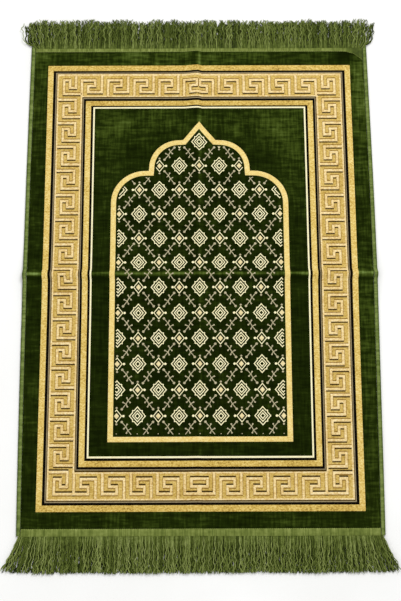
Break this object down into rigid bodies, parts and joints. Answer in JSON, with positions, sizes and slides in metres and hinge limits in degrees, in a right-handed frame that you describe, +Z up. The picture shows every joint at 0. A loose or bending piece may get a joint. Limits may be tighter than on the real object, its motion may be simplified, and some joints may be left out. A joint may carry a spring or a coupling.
{
  "type": "prayer rug",
  "caption": "Rectangular velvet prayer rug lying open, with bound sides, a shallow cross of fold ridges and a corded fringe along each end.",
  "frame": {"origin": "on the floor under the middle of the rug's overall box, fringes included", "axes": "+Y along the rug to the end with the tip of the woven arch, +X to the right seen from the other end, +Z up out of the pile"},
  "size_m": [0.719, 1.126, 0.0137],
  "materials": {
    "velvet": "cut pile velvet in very dark green, brushed lighter in streaks, with a soft sheen at a low angle",
    "binding_yarn": "sage green yarn wrapped closely round the edge, matt",
    "fringe_yarn": "thin twisted olive green cords, slightly glossy",
    "gold_weave": "flat woven gold yarn with a fine rib and a satin sheen",
    "cream_weave": "flat woven cream yarn, slightly raised",
    "shadow_weave": "black and dark brown outline yarn, sunk between the bands",
    "grey_weave": "beige grey yarn, matt"
  },
  "bodies": {
    "root": {"rug_body": "velvet", "binding_left": "binding_yarn", "binding_right": "binding_yarn", "fringe_far": "fringe_yarn", "fringe_near": "fringe_yarn"}
  },
  "joints": []
}
